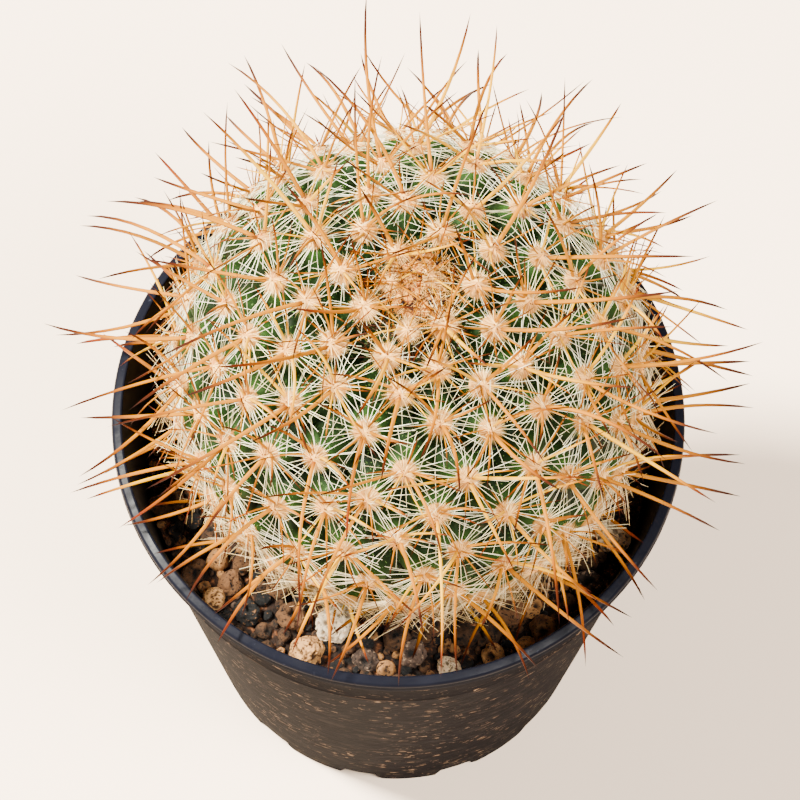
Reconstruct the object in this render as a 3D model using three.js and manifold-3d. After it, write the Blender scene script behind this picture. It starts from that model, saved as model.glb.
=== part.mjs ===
// A round cactus in a plastic nursery pot, in millimetres, +Z up.
// The origin is the centre of the ring of feet that the pot stands on.
// Three pieces: the moulded pot, the granular soil that fills it, and the plant with its root.

import * as THREE from "three";
import { ConvexGeometry } from "three/addons/geometries/ConvexGeometry.js";
import { mergeVertices } from "three/addons/utils/BufferGeometryUtils.js";
import Module from "manifold-3d";

// ---- Driving dimensions ----

// Pot: a tapered round pot with a rolled lip, a faint step under it and a notched foot ring.
const POT_HEIGHT = 85;
const RIM_RADIUS = 45;
const LIP_WIDTH = 1.7;
const LIP_HEIGHT = 2.6;
const WALL = 1.1;
const WALL_TOP_RADIUS = 44.1;
const STEP_BELOW_RIM = 17;
const STEP_DEPTH = 0.4;
const FOOT_RADIUS = 31;
const FLOOR_LIFT = 3.2; // from the surface to the underside of the floor
const FLOOR_THICKNESS = 1.4;
const NOTCH_COUNT = 12;
const NOTCH_WIDTH = 5.6;
const NOTCH_HEIGHT = 2.6;
const NOTCH_TURN = -100; // degrees, the notch left of the front
const DRAIN_COUNT = 6;
const DRAIN_RADIUS = 3.2;
const DRAIN_RING = 19;
const POT_SIDES = 48;

// Soil: a bed of rounded granules, well below the lip.
const SOIL_BELOW_RIM = 17;
const SOIL_GAP = 0.3; // between the bed and the pot, and the bed and the plant
const GRANULE_COUNT = 90;
const GRANULE_SMALL = 1.6; // radii
const GRANULE_LARGE = 2.9;
const GRANULE_INNER_RING = 25;
const GRANULE_SPACING = 0.85; // of two neighbours' radii
const LARGE_STONES = [
  // x, y and radius of the large stones round the front, from left to right
  [-36.2, -9, 2.9],
  [-32, -20.5, 2.2],
  [-26.1, -22.1, 2.2],
  [-23.3, -26.7, 2.3],
  [-16.4, -27.6, 2.2],
  [-13.8, -33.4, 3],
  [-9.4, -28.6, 3.2],
  [-4.6, -34.6, 2],
  [2.9, -33.6, 2.2],
  [8.6, -35.6, 1.9],
  [15.6, -33.6, 2.1],
  [17.9, -26.6, 2.6],
  [23.6, -29.2, 2.4],
  [30.4, -21.4, 2.6],
  [34.3, -13.4, 2.8],
];

// Plant: a globe of woolly-tipped tubercles, a little off the pot's centre and leaning to the front.
const BODY_RADIUS = 36;
const BODY_ABOVE_RIM = 14.5;
const BODY_OFFSET = new THREE.Vector2(1.5, 2);
const LOWER_STRETCH = 1.15; // the lower half is deeper than the upper
const CROWN_LEAN = 6; // degrees towards the front
const TUBERCLE_HEIGHT = 3.4;
const VALLEY_AWAY = 1.1; // from a tubercle's tip to the valley, of the radius of its share of the globe
const AREOLE_COUNT = 182;
const AREOLE_START = 4; // younger tubercles are hidden in the crown's wool
const AREOLE_SHARE = 0.0033; // of the upper half globe, at the crown
const AREOLE_GROWTH = 1.75e-4; // how fast older areoles move apart
const AREOLE_SLOWING = 40; // the number by which that has slowed to half
const AREOLE_ABOVE_SOIL = 4;
const YOUNGEST = 0.7; // the size of the areoles next to the crown
const FULL_GROWN = 8; // the number of the first areole of full size
const PAD_RADIUS = 2.1;
const PAD_HEIGHT = 0.9;
const CROWN_RADIUS = 6.2;
const ROOT_RADIUS = 9;
const ROOT_DEPTH = 22; // below the soil's surface

// Central spines: awl-shaped, the one that points down the globe the longest.
const SPINES_PER_AREOLE = 3;
const SPINES_WHEN_OLD = 1; // on the globe's lower half
const SPINE_DRAW = 6265; // the first of the draws that turn, spread and cut the spines
const SPINE_ROOT_RADIUS = 0.34;
const SPINE_SUNK = 1.6;
const MAIN_SPINE = [15, 27];
const SIDE_SPINE = [10, 19];
const MAIN_SPREAD = [25, 60]; // degrees from the areole's axis
const SIDE_SPREAD = [36, 66];
const SPINE_REACH = 55.5; // from the pot's axis
const SPINE_RIM_CLEARANCE = 1.2;
const SPINE_SOIL_CLEARANCE = 4.5;

// ---- Derived values ----

const GOLDEN_ANGLE = Math.PI * (3 - Math.sqrt(5));
const STEP_HEIGHT = POT_HEIGHT - STEP_BELOW_RIM;
const FLOOR_TOP = FLOOR_LIFT + FLOOR_THICKNESS;
const SOIL_TOP = POT_HEIGHT - SOIL_BELOW_RIM;
const BODY_CENTRE = new THREE.Vector3(BODY_OFFSET.x, BODY_OFFSET.y, POT_HEIGHT + BODY_ABOVE_RIM);
const VALLEY_RADIUS = BODY_RADIUS - TUBERCLE_HEIGHT;

const rad = THREE.MathUtils.degToRad;
const lerp = THREE.MathUtils.lerp;
const smooth = THREE.MathUtils.smoothstep;

// A repeatable draw from 0 to 1 for item i, use k.
function draw(i, k) {
  const s = Math.sin(i * 12.9898 + k * 78.233) * 43758.5453;
  return s - Math.floor(s);
}

// The pot's outer and inner radius at a height.
function outerRadius(z) {
  const step = z < STEP_HEIGHT ? STEP_DEPTH : 0;
  return lerp(FOOT_RADIUS, WALL_TOP_RADIUS, z / POT_HEIGHT) - step;
}
function innerRadius(z) {
  return outerRadius(z) - WALL;
}

// ---- Solids ----

const wasm = await Module();
wasm.setup();

const MERGE = 0.01; // corners closer than this become one

function toSolid(geometry) {
  const bare = geometry.clone();
  bare.deleteAttribute("normal");
  bare.deleteAttribute("uv");
  const merged = mergeVertices(bare, 1e-4);
  return new wasm.Manifold(
    new wasm.Mesh({
      numProp: 3,
      vertProperties: merged.attributes.position.array,
      triVerts: new Uint32Array(merged.index.array),
    }),
  );
}

function toGeometry(solid) {
  const mesh = solid.getMesh();
  const position = new Float32Array(mesh.numVert * 3);
  for (let i = 0; i < mesh.numVert; i++) {
    for (let k = 0; k < 3; k++) position[i * 3 + k] = mesh.vertProperties[i * mesh.numProp + k];
  }
  return new THREE.BufferGeometry()
    .setAttribute("position", new THREE.BufferAttribute(position, 3))
    .setIndex(new THREE.BufferAttribute(new Uint32Array(mesh.triVerts), 1));
}

function joined(solids) {
  return solids.reduce((whole, next) => whole.add(next));
}

// A solid of revolution about +Z, from [radius, height] pairs that run anticlockwise.
function turned(profile, sides) {
  const points = profile.map(([r, z]) => new THREE.Vector2(r, z));
  return new THREE.LatheGeometry(points, sides).rotateX(Math.PI / 2);
}

function named(name, solid, colour, roughness) {
  const material = new THREE.MeshStandardMaterial({ color: colour, roughness, metalness: 0 });
  const mesh = new THREE.Mesh(toGeometry(solid.simplify(MERGE)), material);
  mesh.name = name;
  return mesh;
}

// ---- Pot ----

function pot() {
  const lipUnder = POT_HEIGHT - LIP_HEIGHT;
  const lipInner = RIM_RADIUS - LIP_WIDTH;
  const shell = turned(
    [
      [0, FLOOR_LIFT],
      [innerRadius(FLOOR_LIFT), FLOOR_LIFT],
      [innerRadius(0), 0],
      [outerRadius(0), 0],
      [outerRadius(STEP_HEIGHT - 0.1), STEP_HEIGHT - 0.1],
      [outerRadius(STEP_HEIGHT), STEP_HEIGHT + 0.5],
      [outerRadius(lipUnder), lipUnder],
      [RIM_RADIUS - 0.15, lipUnder + 0.25],
      [RIM_RADIUS, POT_HEIGHT - 0.8],
      [RIM_RADIUS - 0.35, POT_HEIGHT - 0.15],
      [RIM_RADIUS - LIP_WIDTH / 2, POT_HEIGHT],
      [lipInner + 0.25, POT_HEIGHT - 0.2],
      [lipInner, POT_HEIGHT - 0.8],
      [innerRadius(STEP_HEIGHT), STEP_HEIGHT],
      [innerRadius(FLOOR_TOP), FLOOR_TOP],
      [0, FLOOR_TOP],
      [0, FLOOR_LIFT],
    ],
    POT_SIDES,
  );
  let solid = toSolid(shell);
  for (let i = 0; i < NOTCH_COUNT; i++) {
    const notch = new THREE.BoxGeometry(8, NOTCH_WIDTH, NOTCH_HEIGHT * 2);
    notch.translate(FOOT_RADIUS, 0, 0).rotateZ(rad(NOTCH_TURN) + (i * 2 * Math.PI) / NOTCH_COUNT);
    solid = solid.subtract(toSolid(notch));
  }
  for (let i = 0; i < DRAIN_COUNT; i++) {
    const drain = new THREE.CylinderGeometry(DRAIN_RADIUS, DRAIN_RADIUS, 12, 12);
    drain.rotateX(Math.PI / 2).translate(DRAIN_RING, 0, FLOOR_LIFT);
    drain.rotateZ((i * 2 * Math.PI) / DRAIN_COUNT);
    solid = solid.subtract(toSolid(drain));
  }
  return named("pot", solid, 0x2c2b30, 0.45);
}

// ---- Plant ----

// The plant's own upward axis and two axes across it.
const crownUp = new THREE.Vector3(0, -Math.sin(rad(CROWN_LEAN)), Math.cos(rad(CROWN_LEAN)));
const crownX = new THREE.Vector3(1, 0, 0);
const crownY = new THREE.Vector3().crossVectors(crownUp, crownX);

function crownDirection(polar, turn) {
  return new THREE.Vector3()
    .addScaledVector(crownX, Math.sin(polar) * Math.cos(turn))
    .addScaledVector(crownY, Math.sin(polar) * Math.sin(turn))
    .addScaledVector(crownUp, Math.cos(polar));
}

function onGlobe(direction, radius) {
  const place = direction.clone().multiplyScalar(radius);
  if (place.z < 0) place.z *= LOWER_STRETCH;
  return place.add(BODY_CENTRE);
}

// Areoles follow the spiral that tubercles grow in, each a golden angle on from the last.
// Each holds its outward direction, the direction down the globe and the one across it, how grown it is,
// and how far it is to the valley round it.
const areoles = [];
for (let i = 0; i < AREOLE_COUNT; i++) {
  const n = i + AREOLE_START;
  const slowed = 1 + n / AREOLE_SLOWING;
  const polar = Math.acos(1 - n * (AREOLE_SHARE + (AREOLE_GROWTH * n) / slowed)) + (draw(i, 11) - 0.5) * 0.05;
  const turn = n * GOLDEN_ANGLE + ((draw(i, 12) - 0.5) * 0.06) / Math.max(Math.sin(polar), 0.2);
  const up = crownDirection(polar, turn);
  const down = crownDirection(polar + Math.PI / 2, turn);
  const side = new THREE.Vector3().crossVectors(up, down);
  const age = lerp(YOUNGEST, 1, smooth(i, 0, FULL_GROWN));
  const share = AREOLE_SHARE + (AREOLE_GROWTH * n * (1 + slowed)) / slowed ** 2;
  const reach = VALLEY_AWAY * BODY_RADIUS * Math.sqrt(2 * share);
  if (onGlobe(up, BODY_RADIUS).z > SOIL_TOP + AREOLE_ABOVE_SOIL) areoles.push({ i, up, down, side, age, reach });
}

// A direction that lies a distance from an areole, turned from its way down the globe.
function besideAreole({ up, down, side }, distance, turn) {
  const away = distance / BODY_RADIUS;
  return up
    .clone()
    .addScaledVector(down, away * Math.cos(turn))
    .addScaledVector(side, away * Math.sin(turn))
    .normalize();
}

// The globe's radius along a direction: a woolly pad on each tubercle, a valley round it, wool over the crown.
function globeRadius(direction) {
  let nearest = Infinity;
  let age = 1;
  let reach = 1;
  for (const areole of areoles) {
    const away = direction.angleTo(areole.up) * BODY_RADIUS;
    if (away < nearest) {
      nearest = away;
      ({ age, reach } = areole);
    }
  }
  const fromCrown = direction.angleTo(crownUp) * BODY_RADIUS;
  if (fromCrown < CROWN_RADIUS) return BODY_RADIUS + PAD_HEIGHT * (1 - (fromCrown / CROWN_RADIUS) ** 2);
  const pad = PAD_RADIUS * age;
  if (nearest < pad) return BODY_RADIUS + PAD_HEIGHT * age * (1 - (nearest / pad) ** 2);
  return BODY_RADIUS - TUBERCLE_HEIGHT * age * smooth(nearest, pad * 0.6, reach);
}

// Directions over the part of the globe that the soil hides.
function buriedDirections() {
  const lowest = (SOIL_TOP - BODY_CENTRE.z) / (BODY_RADIUS * LOWER_STRETCH);
  const count = 30;
  const found = [];
  for (let n = 0; n < count; n++) {
    const z = lerp(lowest, -1, (n + 0.5) / count);
    const across = Math.sqrt(1 - z * z);
    found.push(
      new THREE.Vector3(across * Math.cos(n * GOLDEN_ANGLE), across * Math.sin(n * GOLDEN_ANGLE), z),
    );
  }
  return found;
}

// The globe's skin has a corner on each pad, a ring of them round it, and one in each valley between
// three tubercles. It can be grown outwards, to cut the hollow that the plant sits in.
function globe(grown = 0) {
  const corners = [crownUp.clone()];
  for (let k = 0; k < 6; k++) corners.push(crownDirection((CROWN_RADIUS * 0.6) / BODY_RADIUS, (k * Math.PI) / 3));
  for (const areole of areoles) {
    corners.push(areole.up.clone());
    for (let k = 0; k < 5; k++) {
      const turn = ((k + draw(areole.i, 13)) * 2 * Math.PI) / 5;
      corners.push(besideAreole(areole, PAD_RADIUS * areole.age, turn));
    }
  }
  const buried = buriedDirections();
  const tips = new ConvexGeometry([...areoles.map((a) => a.up), ...buried]).attributes.position;
  for (let face = 0; face < tips.count; face += 3) {
    const valley = new THREE.Vector3();
    for (let k = 0; k < 3; k++) valley.add(new THREE.Vector3().fromBufferAttribute(tips, face + k));
    if (valley.normalize().angleTo(crownUp) * BODY_RADIUS > CROWN_RADIUS) corners.push(valley);
  }
  const skin = new ConvexGeometry([...corners, ...buried]);
  const position = skin.attributes.position;
  for (let v = 0; v < position.count; v++) {
    const direction = new THREE.Vector3().fromBufferAttribute(position, v).normalize();
    const place = onGlobe(direction, globeRadius(direction) + grown);
    position.setXYZ(v, place.x, place.y, place.z);
  }
  return toSolid(skin);
}

// The tapering root under the globe.
function root(grown = 0) {
  const bottom = SOIL_TOP - ROOT_DEPTH - grown;
  const globeBottom = BODY_CENTRE.z - VALLEY_RADIUS * LOWER_STRETCH;
  const top = globeBottom + ROOT_RADIUS;
  const profile = [
    [0, bottom],
    [ROOT_RADIUS * 0.35 + grown, bottom],
    [ROOT_RADIUS + grown, globeBottom],
    [ROOT_RADIUS + grown, top],
    [0, top],
  ];
  return toSolid(turned(profile, 16).translate(BODY_OFFSET.x, BODY_OFFSET.y, 0));
}

// The length at which a spine ends within the plant's reach.
function reaching(start, direction, length) {
  const tip = start.clone().addScaledVector(direction, length);
  return Math.hypot(tip.x, tip.y) > SPINE_REACH ? reaching(start, direction, length - 0.2) : length;
}

// Whether a straight spine would touch the soil, the pot's wall or its lip.
function fouls(start, direction, length) {
  for (let share = 0.2; share <= 1.001; share += 0.1) {
    const p = start.clone().addScaledVector(direction, length * share);
    const out = Math.hypot(p.x, p.y);
    if (p.z < SOIL_TOP + SPINE_SOIL_CLEARANCE) return true;
    if (p.z < POT_HEIGHT + SPINE_RIM_CLEARANCE && out > innerRadius(p.z) - SPINE_RIM_CLEARANCE) return true;
  }
  return false;
}

// One areole's central spines. One that would foul the pot grows upwards and shorter instead.
function centralSpines(areole) {
  const spines = [];
  const count = areole.up.z < 0 ? SPINES_WHEN_OLD : SPINES_PER_AREOLE;
  for (let k = 0; k < count; k++) {
    const [shortest, longest] = k === 0 ? MAIN_SPINE : SIDE_SPINE;
    const [least, most] = k === 0 ? MAIN_SPREAD : SIDE_SPREAD;
    const turn = ((k + (draw(areole.i, SPINE_DRAW + 10 + k) - 0.5) * 0.7) * 2 * Math.PI) / SPINES_PER_AREOLE;
    const spread = rad(lerp(least, most, draw(areole.i, SPINE_DRAW + 20 + k)));
    const across = new THREE.Vector3()
      .addScaledVector(areole.down, Math.cos(turn))
      .addScaledVector(areole.side, Math.sin(turn));
    const direction = new THREE.Vector3()
      .addScaledVector(areole.up, Math.cos(spread))
      .addScaledVector(across, Math.sin(spread));
    const start = onGlobe(areole.up, BODY_RADIUS + (PAD_HEIGHT / 2) * areole.age).addScaledVector(across, 0.45);
    let length = lerp(shortest, longest, draw(areole.i, SPINE_DRAW + k)) * areole.age;
    for (let tries = 0; tries < 14 && fouls(start, direction, length); tries++) {
      direction.z += 0.12;
      direction.normalize();
      length *= 0.95;
    }
    if (fouls(start, direction, length)) continue;
    spines.push({ start, direction, length: reaching(start, direction, length) });
  }
  return spines;
}

function needle({ start, direction, length }) {
  const whole = length + SPINE_SUNK;
  const cone = new THREE.ConeGeometry(SPINE_ROOT_RADIUS, whole, 3);
  cone.translate(0, whole / 2 - SPINE_SUNK, 0);
  cone.applyQuaternion(new THREE.Quaternion().setFromUnitVectors(new THREE.Vector3(0, 1, 0), direction));
  cone.translate(start.x, start.y, start.z);
  return toSolid(cone);
}

function cactus() {
  const needles = areoles.flatMap(centralSpines).map(needle);
  return named("cactus", joined([globe(), root(), ...needles]), 0x4c7a3a, 0.6);
}

// ---- Soil ----

// Stones of the top layer: the large ones in front, and the rest by rule wherever they have room.
function topLayer() {
  const stones = LARGE_STONES.map(([x, y, size]) => ({ x, y, size }));
  for (let i = 0; i < GRANULE_COUNT; i++) {
    const size = lerp(GRANULE_SMALL, GRANULE_LARGE, draw(i, 1) ** 1.6);
    const outerRing = innerRadius(SOIL_TOP) - SOIL_GAP - size;
    const ring = Math.sqrt(lerp(GRANULE_INNER_RING ** 2, outerRing ** 2, (i + 0.5) / GRANULE_COUNT));
    const x = ring * Math.cos(i * GOLDEN_ANGLE);
    const y = ring * Math.sin(i * GOLDEN_ANGLE);
    const clear = (s) => Math.hypot(s.x - x, s.y - y) > GRANULE_SPACING * (s.size + size);
    if (stones.every(clear)) stones.push({ x, y, size });
  }
  return stones;
}

function granule({ x, y, size }, i) {
  const stone = new THREE.IcosahedronGeometry(size, 0);
  stone.scale(1, lerp(0.8, 1, draw(i, 2)), lerp(0.7, 0.9, draw(i, 3)));
  stone.rotateX(draw(i, 4) * 0.6).rotateZ(draw(i, 5) * 2 * Math.PI);
  return toSolid(stone.translate(x, y, SOIL_TOP + size * lerp(0, 0.35, draw(i, 6))));
}

function soil() {
  const bottom = FLOOR_TOP + SOIL_GAP;
  const profile = [
    [0, bottom],
    [innerRadius(bottom) - SOIL_GAP, bottom],
    [innerRadius(SOIL_TOP) - SOIL_GAP, SOIL_TOP],
    [0, SOIL_TOP],
  ];
  const bed = toSolid(turned(profile, POT_SIDES));
  const filled = joined([bed, ...topLayer().map(granule)]);
  return named("soil", filled.subtract(globe(SOIL_GAP)).subtract(root(SOIL_GAP)), 0x5a4030, 0.95);
}

// ---- The whole ----

const plant = new THREE.Group();
plant.add(pot(), soil(), cactus());

export default plant;
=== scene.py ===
import math

import bmesh
import bpy
from mathutils import Matrix, Vector, kdtree, noise


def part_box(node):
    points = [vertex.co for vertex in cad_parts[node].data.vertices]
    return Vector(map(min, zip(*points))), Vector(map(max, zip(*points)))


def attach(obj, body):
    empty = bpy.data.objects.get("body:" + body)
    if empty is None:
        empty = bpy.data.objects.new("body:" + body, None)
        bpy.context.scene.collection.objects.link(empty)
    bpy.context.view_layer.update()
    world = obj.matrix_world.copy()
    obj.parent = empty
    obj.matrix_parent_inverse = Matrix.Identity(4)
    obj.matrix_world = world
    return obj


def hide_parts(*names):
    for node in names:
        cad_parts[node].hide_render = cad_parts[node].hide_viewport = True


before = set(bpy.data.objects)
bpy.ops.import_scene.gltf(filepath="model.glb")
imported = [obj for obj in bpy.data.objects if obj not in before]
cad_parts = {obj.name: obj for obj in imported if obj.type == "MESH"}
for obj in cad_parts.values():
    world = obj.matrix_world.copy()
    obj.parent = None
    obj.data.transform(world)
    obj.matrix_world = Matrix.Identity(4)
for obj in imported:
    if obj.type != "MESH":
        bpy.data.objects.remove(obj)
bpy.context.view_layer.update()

# ---------------------------------------------------------------------------------------------
# Pot
# One injection-moulded shell of thin dark plastic with wood-coloured flecks, tapered so that pots
# nest. Its lip is rolled outwards, a faint ring marks the stacking step, and it stands on a foot
# ring with arched notches that let water out from under the drained floor.

mm = 0.001
pot_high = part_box("pot")[1]
pot_height = pot_high.z
rim_radius = pot_high.x
wall = 1.1 * mm
wall_top_radius = 44.1 * mm
foot_radius = 31 * mm
step_height = pot_height - 17 * mm
step_depth = 0.4 * mm
lip_width = 1.7 * mm
lip_height = 2.6 * mm
lip_under = pot_height - lip_height
lip_inner = rim_radius - lip_width
lip_slope = 0.3 * mm
outer_bead = 0.7 * mm
inner_bead = 0.34 * mm
floor_lift = 3.2 * mm
floor_thickness = 1.4 * mm
floor_top = floor_lift + floor_thickness
edge = 0.3 * mm
notch_count = 12
notch_pitch = 2 * math.pi / notch_count
notch_height = 2.6 * mm
notch_turn = math.radians(-100)
# half of a notch's width, at the table and at its rounded top
notch_foot = 3.2 * mm
notch_head = 2.3 * mm
drain_count = 6
drain_radius = 3.2 * mm
drain_ring = 19 * mm
pot_steps = 240


def lerp(low, high, share):
    return low + (high - low) * share


def smooth(value, low, high):
    """0 below low and 1 above high, with an even slope between."""
    share = min(max((value - low) / (high - low), 0), 1)
    return share * share * (3 - 2 * share)


def outer_radius(z):
    """The wall's outer radius at a height, with the step."""
    return lerp(foot_radius, wall_top_radius, z / pot_height) - step_depth * (z < step_height)


def inner_radius(z):
    return outer_radius(z) - wall


def arc(centre_r, centre_z, radius, start, end, steps):
    """Points of a round corner, as radius and height, from start to end in degrees."""
    angles = [math.radians(lerp(start, end, i / steps)) for i in range(steps + 1)]
    return [(centre_r + radius * math.cos(a), centre_z + radius * math.sin(a)) for a in angles]


def turned(outline, steps):
    """A closed solid of revolution about +Z from radius and height pairs."""
    bm = bmesh.new()
    corners = [bm.verts.new((r, 0, z)) for r, z in outline]
    edges = [bm.edges.new(pair) for pair in zip(corners, corners[1:])]
    bmesh.ops.spin(bm, geom=corners + edges, cent=(0, 0, 0), axis=(0, 0, 1), angle=2 * math.pi,
                   steps=steps, use_merge=True, use_duplicate=False)
    bmesh.ops.remove_doubles(bm, verts=bm.verts, dist=1e-7)
    bmesh.ops.recalc_face_normals(bm, faces=bm.faces)
    return bm


def smoothed(mesh, angle):
    """Shades a mesh smooth, but for edges sharper than an angle in degrees."""
    mesh.shade_smooth()
    mesh.set_sharp_from_angle(angle=math.radians(angle))


def shown(name, data):
    """Puts a mesh, a lamp or a camera into the scene."""
    item = bpy.data.objects.new(name, data)
    bpy.context.scene.collection.objects.link(item)
    return item


def made(name, bm, materials=()):
    """Makes an object of a bmesh, and frees it."""
    mesh = bpy.data.meshes.new(name)
    bm.to_mesh(mesh)
    bm.free()
    for material in materials:
        mesh.materials.append(material)
    return shown(name, mesh)


def finished(name, bm, materials, smooth_angle=None):
    """Makes a piece of a bmesh with these materials, which rides on the part."""
    piece = made(name, bm, materials)
    if smooth_angle is not None:
        smoothed(piece.data, smooth_angle)
    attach(piece, "root")
    return piece


def srgb(red, green, blue):
    """A colour seen as these 0 to 255 values, as the shader takes it."""
    def channel(c):
        c /= 255
        return c / 12.92 if c <= 0.04045 else ((c + 0.055) / 1.055) ** 2.4
    return (channel(red), channel(green), channel(blue), 1)


def finish(name, colour, roughness, **sockets):
    """A material with one even finish. Returns it with its tree and its shader."""
    material = bpy.data.materials.new(name)
    material.use_nodes = True
    tree = material.node_tree
    shader = tree.nodes["Principled BSDF"]
    shader.inputs["Base Color"].default_value = colour
    shader.inputs["Roughness"].default_value = roughness
    for socket, value in sockets.items():
        shader.inputs[socket.replace("_", " ")].default_value = value
    return material, tree, shader


def add(tree, kind, inputs=None, **settings):
    """Adds a node, sets it and its inputs, and links the inputs that are sockets."""
    node = tree.nodes.new("ShaderNode" + kind)
    for key, value in settings.items():
        setattr(node, key, value)
    for key, value in (inputs or {}).items():
        if isinstance(value, bpy.types.NodeSocket):
            tree.links.new(value, node.inputs[key])
        else:
            node.inputs[key].default_value = value
    return node


def place_on(tree, scale=(1, 1, 1)):
    """The point on the piece, in metres, stretched by a scale."""
    point = add(tree, "TexCoord").outputs["Object"]
    return add(tree, "Mapping", {"Vector": point, "Scale": scale}).outputs["Vector"]


def grain(tree, scale, detail=2, stretch=(1, 1, 1), roughness=0.5):
    """Noise from 0 to 1 with this many waves per metre."""
    inputs = {"Vector": place_on(tree, stretch), "Scale": scale, "Detail": detail, "Roughness": roughness}
    return add(tree, "TexNoise", inputs).outputs["Fac"]


def ramp(tree, factor, *stops):
    """A colour ramp with (place, colour) stops."""
    node = add(tree, "ValToRGB", {"Fac": factor})
    elements = node.color_ramp.elements
    while len(elements) < len(stops):
        elements.new(0.5)
    for element, (position, colour) in zip(elements, stops):
        element.position = position
        element.color = colour
    return node.outputs["Color"]


def step_between(tree, value, low, high):
    """0 where a value is below low, 1 where it is above high."""
    inputs = {"Value": value, "From Min": low, "From Max": high}
    return add(tree, "MapRange", inputs, clamp=True).outputs["Result"]


def mixed(tree, factor, first, second, blend="MIX"):
    """One colour over another by a factor."""
    node = add(tree, "Mix", data_type="RGBA", blend_type=blend)
    factor_and_colours = (node.inputs[0], node.inputs[6], node.inputs[7])
    for socket, value in zip(factor_and_colours, (factor, first, second)):
        if isinstance(value, bpy.types.NodeSocket):
            tree.links.new(value, socket)
        else:
            socket.default_value = value
    return node.outputs[2]


def worked(tree, operation, *values):
    """A number worked out from sockets and numbers."""
    return add(tree, "Math", dict(enumerate(values)), operation=operation).outputs[0]


def attribute(tree, name):
    """A number that the mesh's corners carry."""
    return add(tree, "Attribute", attribute_name=name).outputs["Fac"]


def paint(tree, shader, colour):
    """Gives the shader a colour that varies over the surface."""
    tree.links.new(colour, shader.inputs["Base Color"])


def bump(tree, shader, height, distance, strength=1.0):
    """Raises the surface by a height from 0 to 1, times a distance in metres."""
    node = add(tree, "Bump", {"Height": height, "Distance": distance, "Strength": strength})
    tree.links.new(node.outputs["Normal"], shader.inputs["Normal"])


def flecked_plastic():
    """The pot's outside: charcoal plastic with flecks drawn out round the wall as it was moulded, and a thin
    painted highlight under the lip.
    """
    material, tree, shader = finish("flecked_plastic", srgb(24, 22, 23), 0.6, Specular_IOR_Level=0.004)
    round_the_wall = (1, 1, 2.2)
    height = add(tree, "SeparateXYZ", {"Vector": place_on(tree)}).outputs["Z"]
    low = step_between(tree, height, step_height + 4 * mm, step_height - 10 * mm)
    clusters = step_between(tree, grain(tree, 75, 3), 0.36, 0.60)
    dashes = step_between(tree, grain(tree, 480, 3, round_the_wall, 0.65), 0.605, 0.645)
    blotches = step_between(tree, grain(tree, 260, 2, round_the_wall, 0.6), 0.54, 0.68)
    flecks = worked(tree, "MULTIPLY", dashes, clusters)
    low_blotches = worked(tree, "MULTIPLY", blotches, low)
    ground = ramp(tree, grain(tree, 190, 5, round_the_wall, 0.65), (0.3, srgb(12, 11, 14)),
                  (0.55, srgb(17, 16, 19)), (0.75, srgb(28, 26, 28)))
    tan = ramp(tree, grain(tree, 500, 1), (0.35, srgb(62, 53, 46)), (0.7, srgb(128, 107, 88)))
    blotched = mixed(tree, low_blotches, ground, srgb(31, 28, 28))
    marked = mixed(tree, flecks, blotched, tan)
    # thin tan lines round the wall, shown in broken lengths: the one under the lip is a painted highlight
    # where the lip's lower edge catches light, the other lies just above the step
    line_shown = step_between(tree, grain(tree, 120, 3), 0.5, 0.6)
    under_the_lip = lip_under - 0.5 * mm
    on_the_step = step_height + 0.3 * mm
    for line in (under_the_lip, on_the_step):
        away = worked(tree, "ABSOLUTE", worked(tree, "SUBTRACT", height, line))
        near = step_between(tree, away, 0.28 * mm, 0.06 * mm)
        marked = mixed(tree, worked(tree, "MULTIPLY", near, line_shown), marked, srgb(74, 60, 50))
    lip_side = step_between(tree, height, lip_under, lip_under + edge)
    paint(tree, shader, mixed(tree, lip_side, marked, srgb(17, 18, 24)))
    bump(tree, shader, grain(tree, 700, 4, round_the_wall), 0.0001, 0.7)
    return material


def lip_plastic():
    """The crest of the rolled lip, polished by the mould and rubbed in spots."""
    material, tree, shader = finish("lip_plastic", srgb(18, 19, 26), 0.3, Specular_IOR_Level=0.035)
    rub = step_between(tree, grain(tree, 500, 5, (1, 1, 2), 0.7), 0.64, 0.78)
    paint(tree, shader, mixed(tree, rub, srgb(17, 18, 26), srgb(58, 60, 72)))
    worn = ramp(tree, grain(tree, 260, 3), (0.35, (0.22, 0.22, 0.22, 1)), (0.7, (0.42, 0.42, 0.42, 1)))
    tree.links.new(worn, shader.inputs["Roughness"])
    bump(tree, shader, grain(tree, 900, 3), 0.00004, 0.6)
    return material


def inner_plastic():
    """The inside wall: dull, with a little dust above the soil."""
    material, tree, shader = finish("inner_plastic", srgb(18, 16, 17), 0.65, Specular_IOR_Level=0.25)
    dust = step_between(tree, grain(tree, 300, 4, (1, 1, 0.5)), 0.54, 0.78)
    paint(tree, shader, mixed(tree, dust, srgb(16, 15, 16), srgb(48, 39, 34)))
    bump(tree, shader, grain(tree, 600, 3), 0.00005, 0.5)
    return material


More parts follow.
